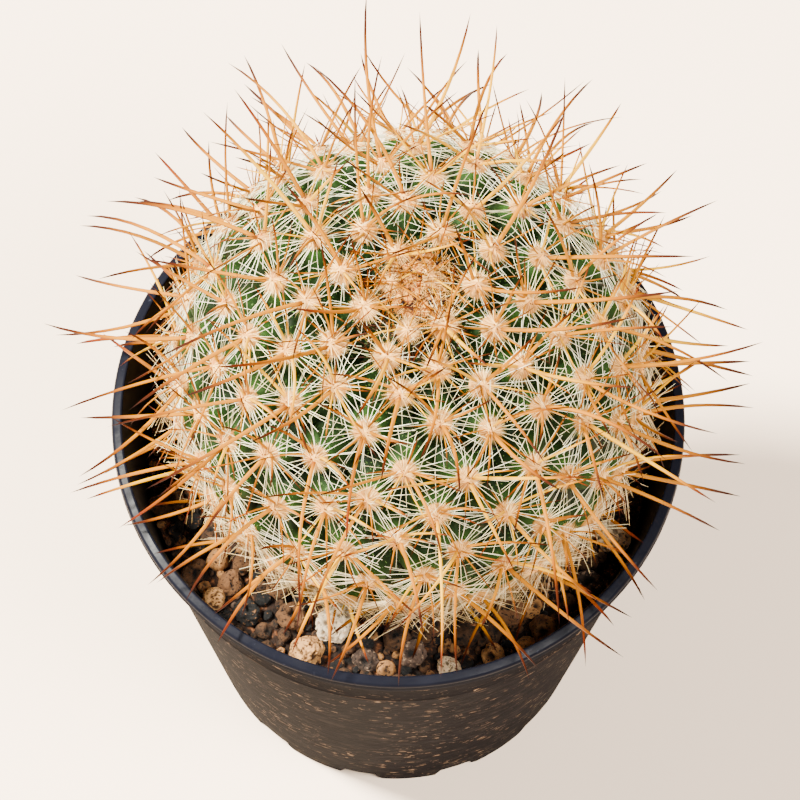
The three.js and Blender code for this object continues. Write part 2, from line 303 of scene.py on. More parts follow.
# heights of the rings up the wall, close together over the notches and under the step
wall_rings = (3.6 * mm, 8 * mm, step_height / 2, step_height - 1 * mm, step_height - 0.1 * mm)
pot_outline = [
    (0, floor_lift),
    (inner_radius(floor_lift) - 0.6 * mm, floor_lift),
    (inner_radius(floor_lift) - 0.1 * mm, floor_lift - 0.5 * mm),
    *arc(inner_radius(0) + edge, edge, edge, 180, 270, 3),
    *arc(outer_radius(0) - edge, edge, edge, 270, 360, 3),
    *[(outer_radius(z), z) for z in wall_rings],
    (outer_radius(step_height) + 0.05 * mm, step_height + 0.35 * mm),
    (outer_radius(step_height), step_height + 0.9 * mm),
    (outer_radius(lip_under) - 0.02 * mm, lip_under - 0.1 * mm),
    *arc(rim_radius - edge, lip_under + edge, edge, 270, 360, 3),
    *arc(rim_radius - outer_bead, pot_height - lip_slope - outer_bead, outer_bead, 0, 80, 8),
    *arc(lip_inner + inner_bead, pot_height - inner_bead, inner_bead, 75, 180, 8),
    (inner_radius(lip_under), lip_under),
    (inner_radius(step_height), step_height),
    (inner_radius(step_height / 2), step_height / 2),
    (inner_radius(floor_top) - 0.02 * mm, floor_top + 1 * mm),
    (inner_radius(floor_top) - 1 * mm, floor_top),
    (0, floor_top),
]
pot_bm = turned(pot_outline, pot_steps)

for vert in pot_bm.verts:
    turn = math.atan2(vert.co.y, vert.co.x) - notch_turn
    beside = abs((turn + notch_pitch / 2) % notch_pitch - notch_pitch / 2) * foot_radius
    if vert.co.z < 2 * edge and vert.co.xy.length > inner_radius(0) - edge:
        vert.co.z += notch_height * smooth(beside, notch_foot, notch_head)

outside, crest, inside = range(3)
crest_height = 1.1 * mm
for face in pot_bm.faces:
    middle = face.calc_center_median()
    out = middle.xy.length
    if out > lip_inner - edge and middle.z > pot_height - crest_height:
        face.material_index = crest
    elif out < inner_radius(middle.z) + edge:
        face.material_index = inside
    else:
        face.material_index = outside

pot = finished("pot_shell", pot_bm, [flecked_plastic(), lip_plastic(), inner_plastic()])

drills = bmesh.new()
for i in range(drain_count):
    turn = Matrix.Rotation(i * 2 * math.pi / drain_count, 4, "Z")
    bmesh.ops.create_cone(drills, cap_ends=True, segments=32, radius1=drain_radius, radius2=drain_radius,
                          depth=12 * mm, matrix=turn @ Matrix.Translation((drain_ring, 0, floor_lift)))
drill = made("drills", drills)
cut = pot.modifiers.new("drains", "BOOLEAN")
cut.operation = "DIFFERENCE"
cut.object = drill
bpy.context.view_layer.update()
drained = bpy.data.meshes.new_from_object(pot.evaluated_get(bpy.context.evaluated_depsgraph_get()))
pot.modifiers.remove(cut)
pot.data = drained
bpy.data.objects.remove(drill)
smoothed(drained, 38)
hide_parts("pot")

# ---------------------------------------------------------------------------------------------
# Soil bed
# Fines between the granules, packed to the pot's wall. Only its top shows, through the gaps
# between the stones, so it is painted nearly black as the shade in those gaps, and the plant's foot
# stands in a plain hollow in it.

soil_gap = 0.3 * mm
soil_top = pot_height - 17 * mm
body_radius = 36 * mm
body_above_rim = 14.5 * mm
lower_stretch = 1.15
body_centre = Vector((1.5 * mm, 2 * mm, pot_height + body_above_rim))


def fines_in_gap_shade():
    """Crumbs of bark and clay dust, painted nearly black as the shade in the gaps between the stones."""
    material, tree, shader = finish("fines_in_gap_shade", srgb(30, 21, 16), 0.95, Specular_IOR_Level=0.2)
    # painted shade: the crumbs are mostly nearly black, for the shade down between the stones
    colour = ramp(tree, grain(tree, 900, 4), (0.38, srgb(10, 7, 6)), (0.55, srgb(36, 23, 16)),
                  (0.68, srgb(96, 58, 34)), (0.8, srgb(140, 92, 58)))
    paint(tree, shader, colour)
    bump(tree, shader, grain(tree, 1400, 3), 0.0006)
    return material


# the plant's radius where it meets the soil
waist = body_radius * math.sqrt(1 - ((body_centre.z - soil_top) / (body_radius * lower_stretch)) ** 2)
hollow_floor = soil_top - 23 * mm
bed_bottom = floor_top + soil_gap
bed_top = soil_top - 0.8 * mm
bed_edge = inner_radius(bed_top) - soil_gap
bed_rings = 32
crumb = 0.5 * mm
bed_outline = [
    (0, bed_bottom),
    (inner_radius(bed_bottom) - soil_gap, bed_bottom),
    (bed_edge, bed_top),
    *[(lerp(bed_edge, waist - 4 * mm, i / bed_rings), bed_top) for i in range(1, bed_rings + 1)],
    (10 * mm, bed_top - 9 * mm),
    (4 * mm, hollow_floor),
    (0, hollow_floor),
]
bed_bm = turned(bed_outline, pot_steps)
for vert in bed_bm.verts:
    if vert.co.z > bed_top - 0.01 * mm and vert.co.xy.length < bed_edge - crumb:
        vert.co.z += crumb * (noise.noise(vert.co * 700) + noise.noise(vert.co * 1900))
bed = finished("soil_bed", bed_bm, [fines_in_gap_shade()], 60)
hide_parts("soil")

# ---------------------------------------------------------------------------------------------
# Soil granules
# The open cactus mix on top: baked-clay balls in browns and tans, many with a pit, pieces of cream
# pumice and white perlite, grey lava and black grit, 1 to 6 mm across, lying loose on each other.


def draw(item, use):
    """A repeatable draw from 0 to 1 for an item and a use."""
    value = math.sin(item * 12.9898 + use * 78.233) * 43758.5453
    return value - math.floor(value)


golden_angle = math.pi * (3 - math.sqrt(5))
pitted = 0.7
pit_depth = 0.55
pore_depth = 0.18
# x, y and radius in millimetres, and kind, of the large stones round the front
large_stones = [
    (-36.2, -9, 2.9, "brown"),
    (-32, -20.5, 2.2, "brown"),
    (-26.1, -22.1, 2.2, "brown"),
    (-23.3, -26.7, 2.3, "black"),
    (-16.4, -27.6, 2.2, "brown"),
    (-13.8, -33.4, 3, "cream"),
    (-9.4, -28.6, 3.2, "white"),
    (-4.6, -34.6, 2, "grey"),
    (2.9, -33.6, 2.2, "grey"),
    (8.6, -35.6, 1.9, "white"),
    (15.6, -33.6, 2.1, "tan"),
    (17.9, -26.6, 2.6, "brown"),
    (23.6, -29.2, 2.4, "tan"),
    (30.4, -21.4, 2.6, "grey"),
    (34.3, -13.4, 2.8, "white"),
]
large_rounds = 5
granule_tiers = [
    # how many are tried, inner ring, least and most radius, how near they lie, how high they sit,
    # how often each is subdivided, and the least and most of the draw of its kind
    (90, 25 * mm, 1.6 * mm, 2.9 * mm, 0.85, 0, 4, (0, 1)),
    (420, 20 * mm, 1.2 * mm, 1.9 * mm, 0.80, -0.5 * mm, 2, (0.25, 0.85)),
    (1600, 20 * mm, 0.55 * mm, 1.2 * mm, 0.74, -0.6 * mm, 2, (0.25, 0.85)),
]
granule_kinds = {
    # share of the mix, dark and light colour, colour of its specks, and roughness
    "brown": (0.45, srgb(20, 13, 8), srgb(108, 72, 43), srgb(12, 8, 5), 0.85),
    "black": (0.20, srgb(4, 4, 5), srgb(20, 18, 18), srgb(124, 84, 50), 0.6),
    "tan": (0.18, srgb(78, 47, 24), srgb(200, 142, 84), srgb(48, 27, 14), 0.8),
    "grey": (0.12, srgb(34, 26, 22), srgb(114, 90, 76), srgb(154, 126, 102), 0.85),
    "cream": (0.03, srgb(150, 98, 52), srgb(232, 174, 110), srgb(110, 68, 36), 0.85),
    "white": (0.02, srgb(236, 196, 150), srgb(255, 234, 200), srgb(190, 154, 120), 0.8),
}


def chosen_kind(share):
    """The kind that a share from 0 to 1 falls to."""
    for kind, (part, *_) in granule_kinds.items():
        if share < part:
            return kind
        share -= part
    return "brown"


def top_layer():
    """Place, radius, kind, height and rounds of each stone: large ones, then smaller where they fit."""
    stones = [(Vector((x, y)) * mm, size * mm, kind, 0, large_rounds) for x, y, size, kind in large_stones]
    for tier, (tried, inner_ring, least, most, spacing, drop, rounds, mix) in enumerate(granule_tiers):
        for i in range(tried):
            item = i + 1000 * tier
            size = lerp(least, most, draw(item, 1) ** 1.6)
            outer_ring = inner_radius(soil_top) - soil_gap - size
            ring = math.sqrt(lerp(inner_ring ** 2, outer_ring ** 2, (i + 0.5) / tried))
            place = Vector((ring * math.cos(item * golden_angle), ring * math.sin(item * golden_angle)))
            if all((place - other).length > spacing * (size + near) for other, near, *_ in stones):
                stones.append((place, size, chosen_kind(lerp(*mix, draw(item, 7))), drop, rounds))
    return stones


def append(whole, part, place):
    """Adds a small bmesh to a larger one at a place, and frees it."""
    bmesh.ops.transform(part, matrix=place, verts=part.verts)
    scrap = bpy.data.meshes.new("scrap")
    part.to_mesh(scrap)
    part.free()
    whole.from_mesh(scrap)
    bpy.data.meshes.remove(scrap)


def with_layers(*names):
    """An empty bmesh whose corners carry these numbers for the materials."""
    bm = bmesh.new()
    return bm, *(bm.verts.layers.float.new(name) for name in names)


def granule(item, size, kind, rounds):
    """One stone, lumpy and a little flattened, with a pit in most and pores in the pale large ones."""
    small = rounds == 2
    bm, tone_and_gap_shade, pit = with_layers("tone_and_gap_shade", "pit")
    bmesh.ops.create_icosphere(bm, subdivisions=rounds, radius=size)
    seed = Vector((draw(item, 8), draw(item, 9), draw(item, 10))) * 50
    pit_way = Vector((0.5 * draw(item, 11) - 0.25, 0.5 * draw(item, 12) - 0.35, 1.0)).normalized()
    has_pit = draw(item, 13) < pitted
    has_pores = kind in ("cream", "white") and not small
    squeeze = Vector((1, lerp(0.74, 1, draw(item, 2)), lerp(0.7, 0.9, draw(item, 3))))
    for vert in bm.verts:
        way = vert.co.normalized()
        lumps = 0.26 * noise.noise(way * 1.1 + seed) + 0.12 * noise.noise(way * 2.9 + seed)
        lumps += 0.05 * noise.noise(way * 7 + seed)
        hollow = 0
        depth = pore_depth if has_pores else pit_depth
        if has_pores:
            dents = noise.noise(way * 2.8 + seed) + 0.5 * noise.noise(way * 6.5 - seed)
            hollow = smooth(dents, 0.08, 0.42)
        elif has_pit:
            hollow = smooth(way.angle(pit_way) + 0.25 * noise.noise(way * 2.3 - seed), 0.56, 0.36)
        # each stone's own tone, halved for the small ones as painted shade in the gaps between the large
        vert[tone_and_gap_shade] = draw(item, 14) * (0.5 if small else 1)
        # how deep the hollow is, which the finish paints as shade
        vert[pit] = hollow
        vert.co = way * size * (1 + lumps - hollow * depth)
        vert.co *= squeeze
    return bm


def darker(colour, share):
    return (*(share * c for c in colour[:3]), 1)


def stone_finish(kind, dark, light, speck, roughness):
    """Mottled stone with specks and pores, each piece in its own tone, the small ones darker as painted shade
    in the gaps, and painted shade in its pit.
    """
    material, tree, shader = finish(kind + "_stone", dark, roughness, Specular_IOR_Level=0.3)
    mottle = grain(tree, 520, 6, roughness=0.75)
    shade = worked(tree, "MULTIPLY_ADD", attribute(tree, "tone_and_gap_shade"), 0.5, mottle)
    colour = ramp(tree, shade, (0.40, dark), (0.95, light))
    specks = step_between(tree, grain(tree, 1300, 3), 0.60, 0.66)
    pores = step_between(tree, grain(tree, 2000, 3), 0.58, 0.66)
    speckled = mixed(tree, specks, colour, speck)
    pored = mixed(tree, pores, speckled, darker(dark, 0.3))
    # painted shade in the pit and the dents
    paint(tree, shader, mixed(tree, attribute(tree, "pit"), pored, darker(dark, 0.2)))
    bump(tree, shader, grain(tree, 1300, 6, roughness=0.75), 0.0008)
    return material


heaps = {kind: with_layers("tone_and_gap_shade", "pit")[0] for kind in granule_kinds}
for item, (place, size, kind, drop, rounds) in enumerate(top_layer()):
    stone = granule(item, size, kind, rounds)
    lift = soil_top + size * 0.35 * draw(item, 6) + drop
    tilt = Matrix.Rotation(draw(item, 5) * 2 * math.pi, 4, "Z") @ Matrix.Rotation(draw(item, 4) * 0.6, 4, "X")
    append(heaps[kind], stone, Matrix.Translation((*place, lift)) @ tilt)
for kind, heap in heaps.items():
    finished("granules_" + kind, heap, [stone_finish(kind, *granule_kinds[kind][1:])], 80)

# ---------------------------------------------------------------------------------------------
# Cactus body
# The living globe: deep green flesh raised in a spiral of tubercles, each a golden angle on from
# the last, with valleys between them that are painted dark as shade. It leans a little to the front
# and tapers into the soil.

crown_lean = math.radians(6)
crown_radius = 6.2 * mm
tubercle_height = 3.4 * mm
tip_radius = 1.2 * mm
crease_width = 1.6 * mm
pad_height = 0.9 * mm
# from a tubercle's tip to the valley, of the radius of its share of the globe
valley_away = 1.1
# the crown's skin is painted dark as the shade of its wool out to here, and is left unshaded from here
shade_end = 12 * mm
light_start = 19 * mm
areole_count = 182
# younger ones are hidden in the crown's wool
areole_start = 4
# an areole's share of the upper half globe, how fast that grows, and the number that halves the growth
areole_share = 0.0033
areole_growth = 1.75e-4
areole_slowing = 40
areole_above_soil = 4 * mm
youngest = 0.7
# the numbers of the first areole of full size and the first with spines of full length
full_grown = 8
young_until = 14
root_radius = 9 * mm
root_depth = 22 * mm

crown_up = Vector((0, -math.sin(crown_lean), math.cos(crown_lean)))
crown_x = Vector((1, 0, 0))
crown_y = crown_up.cross(crown_x)


def crown_direction(polar, turn):
    """The way out of the globe at an angle from the crown and a turn round it."""
    across = crown_x * math.cos(turn) + crown_y * math.sin(turn)
    return crown_up * math.cos(polar) + across * math.sin(polar)


def on_globe(direction, radius):
    """A place on the globe, whose lower half is a little deeper than the upper."""
    place = direction * radius
    if place.z < 0:
        place.z *= lower_stretch
    return place + body_centre


class Areole:
    """One tubercle's woolly tip: its ways out, down and across the globe, its reach and its age."""

    def __init__(self, item):
        n = item + areole_start
        slowed = 1 + n / areole_slowing
        polar = math.acos(1 - n * (areole_share + areole_growth * n / slowed)) + (draw(item, 11) - 0.5) * 0.05
        turn = n * golden_angle + (draw(item, 12) - 0.5) * 0.06 / max(math.sin(polar), 0.2)
        self.item = item
        self.up = crown_direction(polar, turn)
        self.down = crown_direction(polar + math.pi / 2, turn)
        self.side = self.up.cross(self.down)
        self.age = lerp(youngest, 1, smooth(item, 0, full_grown))
        share = areole_share + areole_growth * n * (1 + slowed) / slowed ** 2
        self.reach = valley_away * body_radius * math.sqrt(2 * share)
        self.young = item < young_until
        self.old = smooth(-self.up.z, -0.3, 0.25)

    def frame(self, lift=0):
        """The move from an areole at the origin, out along +Z and down along +X, to its place."""
        turn = Matrix((self.down, self.side, self.up)).transposed().to_4x4()
        return Matrix.Translation(on_globe(self.up, body_radius + lift)) @ turn


areoles = [Areole(i) for i in range(areole_count)]
areoles = [a for a in areoles if on_globe(a.up, body_radius).z > soil_top + areole_above_soil]
crown_areoles = [Areole(i) for i in range(1 - areole_start, 0)]
areole_tree = kdtree.KDTree(len(areoles))
for i, areole in enumerate(areoles):
    areole_tree.insert(areole.up * body_radius, i)
areole_tree.balance()


def globe_radius(direction):
    """The globe's radius along a direction, and how much painted shade its skin there takes, from 0 to 1."""
    (_, first, near), (_, _, next_near) = areole_tree.find_n(direction * body_radius, 2)
    age = areoles[first].age
    flank = smooth(near, tip_radius * age, areoles[first].reach)
    crease = 1 - smooth(next_near - near, 0, crease_width)
    from_crown = direction.angle(crown_up) * body_radius
    wool = 1 - smooth(from_crown, crown_radius * 0.5, crown_radius * 1.1)
    valley = (0.85 * flank + 0.22 * crease * flank) * (1 - wool) * age
    shaded = 1 - smooth(from_crown, shade_end, light_start)
    return body_radius - tubercle_height * valley, max(valley, shaded)


def green_flesh():
    """Waxy green skin with patches and fine pale pores, painted nearly black as shade down in the valleys and
    round the crown.
    """
    material, tree, shader = finish("green_flesh", srgb(34, 68, 20), 0.6, Specular_IOR_Level=0.08,
                                    Subsurface_Weight=0.04, Subsurface_Scale=0.002)
    shader.inputs["Subsurface Radius"].default_value = (0.5, 1.0, 0.25)
    # painted shade: the skin darkens down the valleys to nearly black, and is nearly black round the crown
    slope = ramp(tree, attribute(tree, "valley"), (0.0, srgb(43, 72, 24)), (0.3, srgb(24, 46, 12)),
                 (0.62, srgb(10, 22, 5)), (0.95, srgb(3, 9, 2)))
    patches = ramp(tree, grain(tree, 140, 3), (0.35, srgb(8, 22, 4)), (0.7, srgb(34, 61, 20)))
    skin = mixed(tree, 0.3, slope, patches)
    pores = step_between(tree, grain(tree, 2600, 1), 0.66, 0.74)
    paint(tree, shader, mixed(tree, pores, skin, srgb(76, 108, 52)))
    bump(tree, shader, grain(tree, 1200, 3), 0.0001)
    return material


body_bm, painted_shade_layer = with_layers("valley")
bmesh.ops.create_icosphere(body_bm, subdivisions=7, radius=1)
for vert in body_bm.verts:
    direction = vert.co.normalized()
    radius, vert[painted_shade_layer] = globe_radius(direction)
    vert.co = on_globe(direction, radius)
root_bottom = soil_top - root_depth
globe_bottom = body_centre.z - (body_radius - tubercle_height) * lower_stretch
root_outline = [
    (0, root_bottom),
    (root_radius * 0.35, root_bottom),
    (root_radius, globe_bottom),
    (root_radius, globe_bottom + root_radius),
    (0, globe_bottom + root_radius),
]
append(body_bm, turned(root_outline, 32), Matrix.Translation((body_centre.x, body_centre.y, 0)))
body = finished("cactus_body", body_bm, [green_flesh()], 60)
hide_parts("cactus")

# ---------------------------------------------------------------------------------------------
# Areole wool
# Each tubercle ends in a pompom of peach-cream felt: short fine hairs that all start from one eye
# and lie outwards over a low cushion, frayed at its edge.

wool_hairs = 185
wool_hair_radius = 0.1 * mm
wool_spread = 2.2 * mm
wool_rise = 1.15 * mm
# how far the hairs reach and how far they droop: most lie loose, every third one is matted down
loose_reach = (1.8 * mm, 3 * mm)
loose_droop = (-0.42, -0.08)
matted_reach = (0.95 * wool_spread, 1.3 * wool_spread)
matted_droop = (-0.7, -0.4)
cushion_tone = 0.25
# the size of a pompom in the crown, next to it, and from which number to which it becomes 1
crown_pompom = 0.95
young_pompom = 1.12
pompom_settles = (4, 30)
# short rusty stubs of new bristles that stand in the eye
buds = 4
bud_radius = 0.12 * mm
bud_rise = (0.75, 1.35)


def lying(turn, rise, start, reach):
    """The move that lays a cone on its side, at a turn about +Z and raised by an angle."""
    return (Matrix.Rotation(turn, 4, "Z") @ Matrix.Rotation(math.pi / 2 - rise, 4, "Y")
            @ Matrix.Translation((0, 0, start + reach / 2)))


def bristle(bm, turn, rise, start, reach, radius, blunt=0.0):
    """Adds one three-sided bristle that starts near the origin."""
    bmesh.ops.create_cone(bm, cap_ends=True, segments=3, radius1=radius, radius2=radius * blunt, depth=reach,
                          matrix=lying(turn, rise, start, reach))


def felt():
    """Soft peach wool in paler and darker strands, with a rusty eye."""
    material, tree, shader = finish("felt", srgb(252, 216, 150), 0.9, Specular_IOR_Level=0.2)
    tone = ramp(tree, attribute(tree, "out"), (0.03, srgb(80, 32, 8)), (0.12, srgb(226, 158, 74)),
                (0.3, srgb(240, 186, 102)), (0.8, srgb(246, 204, 132)), (1.0, srgb(252, 220, 156)))
    shade = ramp(tree, attribute(tree, "strand"), (0.0, srgb(122, 86, 50)), (0.3, srgb(210, 184, 146)),
                 (0.62, srgb(255, 255, 250)))
    paint(tree, shader, mixed(tree, 1, tone, shade, "MULTIPLY"))
    return material


def pompom(areole):
    """An areole's felt: hairs that droop from one eye, the cushion under them, and the buds in the eye."""
    tuft, out_layer, strand_layer = with_layers("out", "strand")
    strands = []
    for k in range(wool_hairs):
        item = areole.item * 7 + k
        matted = k % 3 == 0
        reach = lerp(*(matted_reach if matted else loose_reach), draw(item, 61))
        droop = lerp(*(matted_droop if matted else loose_droop), draw(item, 60))
        bristle(tuft, k * golden_angle, droop, 0, reach, wool_hair_radius * lerp(0.8, 1.3, draw(item, 67)))
        strands += [draw(item, 68)] * (len(tuft.verts) - len(strands))
    for vert in tuft.verts:
        vert.co.z += wool_rise * (1 - 0.1 * abs(vert.co.x) / wool_spread)
    cushion = with_layers("out", "strand")[0]
    bmesh.ops.create_uvsphere(cushion, u_segments=12, v_segments=6, radius=wool_spread * 0.86)
    append(tuft, cushion, Matrix.Scale(wool_rise / wool_spread, 4, (0, 0, 1)))
    strands += [cushion_tone] * (len(tuft.verts) - len(strands))
    felted = len(tuft.verts)
    for k in range(buds):
        turn = (k + draw(areole.item, 69 + k)) * 2 * math.pi / buds
        bristle(tuft, turn, lerp(*bud_rise, draw(areole.item, 81 + k)), 0, wool_rise * 1.2, bud_radius, 1)
    strands += [1] * (len(tuft.verts) - len(strands))
    for i, (vert, strand) in enumerate(zip(tuft.verts, strands)):
        out = math.hypot(vert.co.xy.length, 0.45 * vert.co.z) / (wool_spread * 1.05)
        vert[out_layer] = lerp(0.12, 1, min(out, 1)) if i < felted else 0
        vert[strand_layer] = strand
    return tuft


felt_finish = felt()
wool_bm = with_layers("out", "strand")[0]
for areole in crown_areoles + areoles:
    size = lerp(young_pompom, 1, smooth(areole.item, *pompom_settles)) if areole.item >= 0 else crown_pompom
    append(wool_bm, pompom(areole), areole.frame(pad_height * 0.2) @ Matrix.Scale(size, 4))
finished("areole_wool", wool_bm, [felt_finish])

# ---------------------------------------------------------------------------------------------
# Radial spines
# From under each pompom some twenty-five glassy white bristles stand out straight in a flat star,
# finer than a pin, and cross those of the neighbours in a net. Old ones low down hang in a skirt.

radial_count = 27
young_count = 18
skirt_count = 20
radial_radius = 0.055 * mm
radial_start = 0.8 * mm
radial_reach = (5 * mm, 8.2 * mm)
young_reach = (3.5 * mm, 6 * mm)
shortest_radial = 2 * mm
skirt_reach = (5.5 * mm, 9.5 * mm)
skirt_turn = (-1.9, 1.9)
skirt_rise = (0, 0.7)
above_stones = 2.5 * mm
# a bristle's end sinks by this times its reach squared, in metres
sag = 5
# how far a bristle's end strays, of its reach: when young, when old, and more in the skirt
waviness = (0.03, 0.06)
skirt_waviness = 0.06
# without a seed, the noise that bends the bristles would start from the clock
noise.seed_set(1)


def glassy_white():
    """Glassy white bristle, creamier and tan on the old ones low on the globe: partly their own colour with
    age, partly painted shade.
    """
    material, tree, shader = finish("glassy_white", srgb(252, 248, 214), 0.45)
    tone = ramp(tree, grain(tree, 160, 2), (0.35, srgb(250, 242, 186)), (0.65, srgb(254, 252, 222)))
    # the tan of the old, low bristles is partly their colour and partly painted shade on the globe's
    # underside
    skirt = ramp(tree, grain(tree, 260, 2), (0.35, srgb(204, 156, 92)), (0.65, srgb(248, 220, 162)))
    paint(tree, shader, mixed(tree, attribute(tree, "old"), tone, skirt))
    return material


def above_soil(place, direction, reach):
    """A reach cut so that a bristle ends above the stones."""
    if direction.z >= 0:
        return reach
    return min(reach, (place.z - soil_top - above_stones) / -direction.z)


def radial_star(areole, count, skirt):
    """An areole's fine bristles: a flat star, or the old ones that hang down in a loose tuft."""
    star, old_layer = with_layers("old")
    place = areole.frame()
    lengths = skirt_reach if skirt else young_reach if areole.young else radial_reach
    radius = radial_radius * (0.8 if areole.young or skirt else 1)
    for k in range(count):
        item = areole.item * 50 + k + 100 * skirt
        if skirt:
            turn = lerp(*skirt_turn, draw(item, 65))
            rise = lerp(*skirt_rise, draw(item, 66))
        else:
            turn = (k + draw(item, 62) * 0.8) * 2 * math.pi / count
            rise = lerp(-0.02, 0.24 + 0.25 * smooth(-areole.up.z, -0.5, 0), draw(item, 63))
        out = Vector((math.cos(turn) * math.cos(rise), math.sin(turn) * math.cos(rise), math.sin(rise)))
        reach = above_soil(place.translation, place.to_3x3() @ out, lerp(*lengths, draw(item, 64)))
        if reach > shortest_radial:
            bristle(star, turn, rise, radial_start, reach, radius, 0.5)
    long_edges = [e for e in star.edges if e.calc_length() > 1.5 * mm]
    bmesh.ops.subdivide_edges(star, edges=long_edges, cuts=4 if skirt else 2)
    wave = lerp(*waviness, areole.old) + skirt_waviness * skirt
    own = Vector((areole.item, 0, 0))
    for vert in star.verts:
        vert[old_layer] = areole.old
        vert.co.z -= sag * vert.co.xy.length_squared
        vert.co += noise.noise_vector(vert.co * 110 + own) * vert.co.length * wave
    return star


white = glassy_white()
radial_bm = with_layers("old")[0]
skirt_bm = with_layers("old")[0]
for areole in areoles:
    place = areole.frame(0.1 * mm)
    count = young_count if areole.young else round(radial_count * (1 - 0.25 * areole.old))
    append(radial_bm, radial_star(areole, count, False), place)
    if areole.old > 0.05:
        append(skirt_bm, radial_star(areole, round(skirt_count * areole.old), True), place)
finished("radial_spines", radial_bm, [white])
finished("skirt_spines", skirt_bm, [white])

# ---------------------------------------------------------------------------------------------
# Central spines
# Stout amber awls stand out of each eye, the one that points down the globe the longest, with finer
# ones between them. They are honey-coloured horn, a little bowed, and end in a dark point.

spines_per_areole = 3
spines_when_old = 1
# where these spines' draws start, picked for how the tips fall in the photo
spine_draw = 6265
main_spine = (15 * mm, 27 * mm)
side_spine = (10 * mm, 19 * mm)
# spreads are in degrees from the areole's axis
main_spread = (25, 60)
side_spread = (36, 66)
main_radius = (0.29 * mm, 0.38 * mm)
side_radius = (0.2 * mm, 0.32 * mm)
eye_radius = 0.45 * mm
spine_root = 1 * mm
spine_reach = 55.5 * mm
rim_clearance = 1.2 * mm
soil_clearance = 4.5 * mm
# a spine that would foul the pot or soil is turned up and cut shorter, at most this often
spine_tries = 14
turned_up = 0.12
cut_to = 0.95
fine_count = 5
fine_when_young = 7
fine_length = (6 * mm, 12.5 * mm)
fine_spread = (42, 80)
fine_radius = (0.11 * mm, 0.18 * mm)
# how full a spine stays towards its point, and how far it bows up and sideways, of its length
fullness = 0.68
bow_up = (-0.03, 0.13)
bow_sideways = (-0.07, 0.07)


def reaching(start, direction, length):
    """The length at which a spine ends within the plant's reach."""
    while (start + direction * length).xy.length > spine_reach:
        length -= 0.2 * mm
    return length


def fouls(start, direction, length):
    """Whether a straight spine would touch the soil, the pot's wall or its lip."""
    for tenth in range(2, 11):
        p = start + direction * length * (tenth / 10)
        if p.z < soil_top + soil_clearance:
            return True
        near_wall = p.xy.length > inner_radius(p.z) - rim_clearance
        if p.z < pot_height + rim_clearance and near_wall:
            return True
    return False


def leaning(areole, turn, spread):
    """The way of a spine that leans from an areole's axis, and the way it leans."""
    across = areole.down * math.cos(turn) + areole.side * math.sin(turn)
    return areole.up * math.cos(spread) + across * math.sin(spread), across


def central_spines(areole):
    """Start, direction and length of an areole's stout spines, grown clear of the pot."""
    spines = []
    count = spines_when_old if areole.up.z < 0 else spines_per_areole
    for k in range(count):
        shortest, longest = side_spine if k else main_spine
        least, most = side_spread if k else main_spread
        uses = spine_draw + k
        turn = (k + (draw(areole.item, uses + 10) - 0.5) * 0.7) * 2 * math.pi / spines_per_areole
        spread = math.radians(lerp(least, most, draw(areole.item, uses + 20)))
        direction, across = leaning(areole, turn, spread)
        start = on_globe(areole.up, body_radius + pad_height / 2 * areole.age) + across * eye_radius
        length = lerp(shortest, longest, draw(areole.item, uses)) * areole.age
        tries = 0
        while tries < spine_tries and fouls(start, direction, length):
            direction = (direction + Vector((0, 0, turned_up))).normalized()
            length *= cut_to
            tries += 1
        if not fouls(start, direction, length):
            spines.append((start, direction, reaching(start, direction, length)))
    return spines


def awl(whole, start, direction, length, radius, sides, cuts, item, tints=(0, 1)):
    """Adds a spine that keeps its width for most of its length, bows a little and ends in a point."""
    bm, share, shade = with_layers("share", "shade")
    full = length + spine_root
    bmesh.ops.create_cone(bm, cap_ends=True, segments=sides, radius1=radius, radius2=0, depth=full,
                          matrix=Matrix.Translation((0, 0, full / 2)))
    long_edges = [e for e in bm.edges if e.calc_length() > full / 2]
    bmesh.ops.subdivide_edges(bm, edges=long_edges, cuts=cuts)
    turn = direction.to_track_quat("Z", "Y").to_matrix()
    lift = Vector((0, 0, 1)) - direction * direction.z
    sideways = direction.cross(Vector((0, 0, 1)))
    bow = lift * lerp(*bow_up, draw(item, 51)) + sideways * lerp(*bow_sideways, draw(item, 52))
    bow = turn.inverted() @ (bow * length)
    for vert in bm.verts:
        along = vert.co.z / full
        fuller = (1 - along) ** -fullness if along < 1 else 1
        arch = 4 * along * (1 - along)
        vert[share] = along
        vert[shade] = lerp(*tints, draw(item, 53))
        vert.co = Vector((vert.co.x * fuller, vert.co.y * fuller, vert.co.z)) + bow * arch
    append(whole, bm, Matrix.Translation(start - direction * spine_root) @ turn.to_4x4())


def amber_horn():
    """Honey horn that darkens to a red-brown point; some spines are rusty and some pale."""
    material, tree, shader = finish("amber_horn", srgb(204, 134, 0), 0.45, Specular_IOR_Level=0.06)
    share = attribute(tree, "share")
    shade = attribute(tree, "shade")
    honey = ramp(tree, share, (0.05, srgb(110, 48, 8)), (0.12, srgb(166, 105, 0)), (0.5, srgb(158, 97, 0)),
                 (0.64, srgb(126, 68, 0)), (0.78, srgb(62, 22, 3)), (1.0, srgb(22, 7, 6)))
    pale = ramp(tree, share, (0.05, srgb(160, 92, 20)), (0.12, srgb(198, 142, 0)), (0.5, srgb(208, 154, 0)),
                (0.7, srgb(176, 112, 0)), (0.86, srgb(86, 32, 4)), (1.0, srgb(36, 12, 7)))
    rusty = ramp(tree, share, (0.05, srgb(84, 32, 8)), (0.18, srgb(134, 80, 0)), (0.6, srgb(124, 64, 0)),
                 (0.8, srgb(100, 34, 6)), (1.0, srgb(30, 11, 8)))
    paler = mixed(tree, step_between(tree, shade, 0.38, 0.28), honey, pale)
    paint(tree, shader, mixed(tree, step_between(tree, shade, 0.86, 0.95), paler, rusty))
    return material


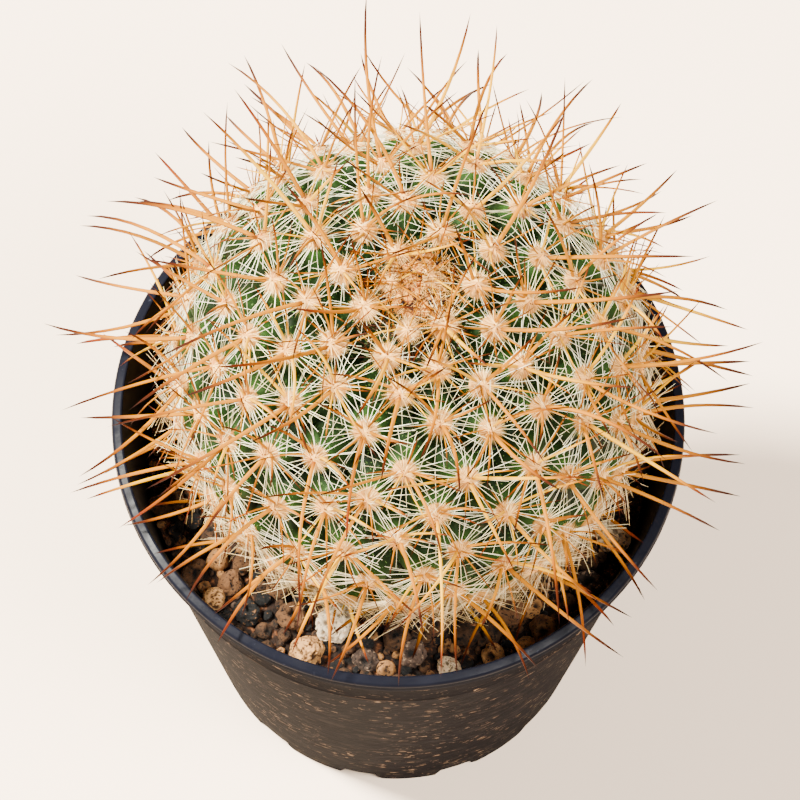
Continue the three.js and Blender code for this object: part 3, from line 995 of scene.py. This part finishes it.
central_bm = with_layers("share", "shade")[0]
fine_bm = with_layers("share", "shade")[0]
for areole in areoles:
    for k, (start, direction, length) in enumerate(central_spines(areole)):
        item = areole.item * 8 + k
        radii, sides, tints = (side_radius, 5, (0, 0.9)) if k else (main_radius, 6, (0.24, 1))
        radius = lerp(*radii, draw(item, 54))
        awl(central_bm, start, direction, length, radius, sides, sides + 1, item, tints)
for areole in crown_areoles + areoles:
    count = fine_when_young if areole.young else fine_count
    for k in range(count):
        item = areole.item * 8 + k
        turn = (k + 0.5 + (draw(item, 55) - 0.5) * 0.9) * 2 * math.pi / count
        spread = math.radians(lerp(*fine_spread, draw(item, 56)))
        direction = leaning(areole, turn, spread)[0]
        start = on_globe(areole.up, body_radius + pad_height / 2 * areole.age)
        length = lerp(*fine_length, draw(item, 57)) * (1 - 0.3 * areole.old)
        radius = lerp(*fine_radius, draw(item, 59))
        if not fouls(start, direction, length) and draw(item, 58) > 0.6 * areole.old:
            awl(fine_bm, start, direction, length, radius, 4, 4, item + 4000, (0.2, 1))
horn = amber_horn()
finished("central_spines", central_bm, [horn], 50)
finished("fine_spines", fine_bm, [horn], 50)

# ---------------------------------------------------------------------------------------------
# Crown
# The growing point is hidden in a cap of matted peach wool. Dark bristle tips stick out of it in
# dots, longer rusty bristles lie across it, and pale hairs, with some painted near-black as shade,
# bridge the dark gaps round it.

crown_hairs = 520
hair_radius = 0.035 * mm
hair_reach = (1.4 * mm, 3.6 * mm)
crown_dots = 110
dot_radius = 0.07 * mm
dot_reach = (0.8 * mm, 3.6 * mm)
crown_bristles = 60
bristle_radius = 0.1 * mm
bristle_reach = (2.5 * mm, 8 * mm)
# hairs in a ring round the mound, and bristles in the dark gaps in front of it
ring_hairs = 170
ring_away = (4.5 * mm, 9.5 * mm)
gap_bristles = 150
gap_radius = 0.06 * mm
gap_reach = (1.5 * mm, 4 * mm)
# the draws of these bristles start from here, so that they are unlike the dots
gap_items = 500
bristle_items = 50
bristle_leans = 900


def matted_felt():
    """Peach felt with a fine rusty net and dark flecks in it."""
    material, tree, shader = finish("matted_felt", srgb(226, 146, 62), 0.9, Specular_IOR_Level=0.2)
    base = ramp(tree, grain(tree, 500, 4), (0.3, srgb(120, 72, 24)), (0.5, srgb(198, 132, 52)),
                (0.7, srgb(238, 180, 96)))
    cells = add(tree, "TexVoronoi", {"Vector": place_on(tree), "Scale": 1100}, feature="DISTANCE_TO_EDGE")
    net = step_between(tree, cells.outputs["Distance"], 0.12, 0.04)
    netted = mixed(tree, net, base, srgb(116, 56, 10))
    flecks = step_between(tree, grain(tree, 800, 2), 0.54, 0.6)
    paint(tree, shader, mixed(tree, flecks, netted, srgb(26, 10, 5)))
    bump(tree, shader, grain(tree, 1200, 3), 0.0004)
    return material


crown_turn = Matrix((crown_x, crown_y, crown_up)).transposed().to_4x4()
crown_place = Matrix.Translation(on_globe(crown_up, body_radius - 0.4 * mm)) @ crown_turn
# the mound's middle lies a little off the crown's, and its height is this share of its radius
wool_middle = Vector((1.0, 2.2, 0)) * mm
mound_height = 0.2


def crown_spot(item, count, reach, lift):
    """A place on the crown's mound, spread evenly out to a reach."""
    away = reach * math.sqrt((item + 0.5) / count)
    turn = item * golden_angle
    height = lift + pad_height * (1 - (away / crown_radius) ** 2)
    return Matrix.Translation(wool_middle + Vector((away * math.cos(turn), away * math.sin(turn), height)))


def below_crown(away, lift):
    """A place this far from the crown's middle, lifted from the globe there."""
    return Matrix.Translation((*away, lift - away.length_squared / (2 * body_radius)))


def crown_ring(item, count):
    """A place in the ring round the crown's mound."""
    away = lerp(*ring_away, (item % count) / count)
    turn = item * golden_angle
    way = Vector((away * math.cos(turn), away * math.sin(turn)))
    return below_crown(way, lerp(-0.6, 0.9, draw(item, 74)) * mm)


def crown_gap(item):
    """A place in the dark gaps between the pompoms in front of the mound."""
    away = Vector((lerp(-7, 7, draw(item, 82)), lerp(-9, -2, draw(item, 83)))) * mm
    return below_crown(away, lerp(-1.2, 0.2, draw(item, 84)) * mm)


def leaning_out(spot, item, least, most):
    """Start and direction of a bristle at a spot of the crown, which leans by an angle between two."""
    spot = crown_place @ spot
    turn = draw(item, 75) * 2 * math.pi
    lean = lerp(least, most, draw(item, 76))
    way = Vector((math.cos(turn) * math.sin(lean), math.sin(turn) * math.sin(lean), math.cos(lean)))
    return spot.translation, spot.to_3x3() @ way


cushion = bmesh.new()
bmesh.ops.create_uvsphere(cushion, u_segments=64, v_segments=20, radius=crown_radius)
bmesh.ops.scale(cushion, vec=(1, 1, mound_height), verts=cushion.verts)
for vert in cushion.verts:
    vert.co.xy *= 0.8 + 0.3 * noise.noise(Vector((*vert.co.xy, 0)).normalized() * 1.4)
    vert.co.z += 0.35 * mm * noise.noise(vert.co * 600)
bmesh.ops.transform(cushion, matrix=crown_place @ Matrix.Translation(wool_middle), verts=cushion.verts)
finished("crown_wool", cushion, [matted_felt()], 60)

hair_bm = with_layers("out", "strand")[0]
for i in range(crown_hairs + ring_hairs):
    hair, out_layer, strand_layer = with_layers("out", "strand")
    turn = draw(i, 73) * 2 * math.pi
    rise = lerp(-0.1, 0.5, draw(i, 74))
    bristle(hair, turn, rise, 0, lerp(*hair_reach, draw(i, 71)), hair_radius, 0.5)
    if i < crown_hairs:
        spot = crown_spot(i, crown_hairs, crown_radius * 0.9, 0.1 * mm)
        tone = 0 if draw(i, 70) < 0.16 else lerp(0.12, 0.6, draw(i, 72))
    else:
        spot = crown_ring(i, ring_hairs)
        # four in ten ring hairs are near-black: painted shade on hairs lying in the dark gaps
        tone = 0.02 if draw(i, 70) < 0.4 else lerp(0.5, 1, draw(i, 72))
    for vert in hair.verts:
        vert[out_layer] = tone
        vert[strand_layer] = draw(i, 69)
    append(hair_bm, hair, crown_place @ spot)
finished("crown_hairs", hair_bm, [felt_finish])

dark_bristle = finish("dark_bristle", srgb(50, 20, 12), 0.5)[0]
dots_bm = with_layers("share", "shade")[0]
for i in range(crown_dots):
    spot = crown_spot(i, crown_dots, crown_radius * 0.95, 0.3 * mm)
    reach = lerp(*dot_reach, draw(i, 77) ** 1.5)
    awl(dots_bm, *leaning_out(spot, i, 0.5, 1.5), reach, dot_radius, 3, 3, i)
for i in range(gap_bristles):
    item = i + gap_items
    reach = lerp(*gap_reach, draw(i, 85))
    awl(dots_bm, *leaning_out(crown_gap(i), item, 0.7, 1.6), reach, gap_radius, 3, 3, item)
finished("crown_dots", dots_bm, [dark_bristle])

rusty_bm = with_layers("share", "shade")[0]
for i in range(crown_bristles):
    spot = crown_spot(i, crown_bristles, crown_radius * 1.3, 0)
    start, way = leaning_out(spot, i + bristle_leans, 0.6, 1.45)
    reach = lerp(*bristle_reach, draw(i, 80))
    awl(rusty_bm, start, way, reach, bristle_radius, 4, 4, i + bristle_items, (0.5, 1.2))
finished("crown_bristles", rusty_bm, [horn], 50)

# ---------------------------------------------------------------------------------------------
# Floor and light
# A plain pale table under the pot. A small soft warm lamp stands to the left and a little behind,
# and a larger, weaker one in front at the right keeps the near side open.

floor_bm = bmesh.new()
bmesh.ops.create_grid(floor_bm, x_segments=1, y_segments=1, size=3)
made("table_top", floor_bm, [finish("pale_table", srgb(255, 229, 206), 0.8)[0]])


def softbox(name, place, size, power, colour):
    """A round soft lamp that faces the plant."""
    lamp = bpy.data.lights.new(name, "AREA")
    lamp.shape = "DISK"
    lamp.size = size
    lamp.energy = power
    lamp.color = colour
    box = shown(name, lamp)
    box.location = place
    aim = Vector((0, 0, pot_height)) - Vector(place)
    box.rotation_euler = aim.to_track_quat("-Z", "Y").to_euler()


softbox("key", (-0.7, 0.15, 1.08), 0.22, 116, (1, 0.965, 0.84))
softbox("fill", (0.5, -0.42, 1.12), 0.5, 34, (1, 0.96, 0.88))

studio = bpy.data.worlds.new("studio")
studio.use_nodes = True
walls = studio.node_tree.nodes["Background"]
walls.inputs["Color"].default_value = (1, 0.965, 0.91, 1)
walls.inputs["Strength"].default_value = 0.33
bpy.context.scene.world = studio

# ---------------------------------------------------------------------------------------------
# Camera
# A long lens a metre away, looking steeply down from the front at the crown, a little above the
# middle of the pot's rim.

lens_px = 6832
sensor_mm = 36
picture_px = 800
camera_elevation = math.radians(67.61)
camera_roll = math.radians(0.96)
camera_distance = 1.0716
aim_right = 0.21 * mm
aim_up = 2.54 * mm

backwards = Vector((0, -math.cos(camera_elevation), math.sin(camera_elevation)))
rightwards = Vector((1, 0, 0))
upwards = backwards.cross(rightwards)
aim = Vector((0, 0, pot_height)) + rightwards * aim_right + upwards * aim_up
rolled_right = rightwards * math.cos(camera_roll) + upwards * math.sin(camera_roll)
rolled_up = upwards * math.cos(camera_roll) - rightwards * math.sin(camera_roll)
lens = bpy.data.cameras.new("camera")
lens.sensor_width = sensor_mm
lens.lens = lens_px * sensor_mm / picture_px
camera = shown("camera", lens)
turn = Matrix((rolled_right, rolled_up, backwards)).transposed().to_4x4()
camera.matrix_world = Matrix.Translation(aim + backwards * camera_distance) @ turn
bpy.context.scene.camera = camera
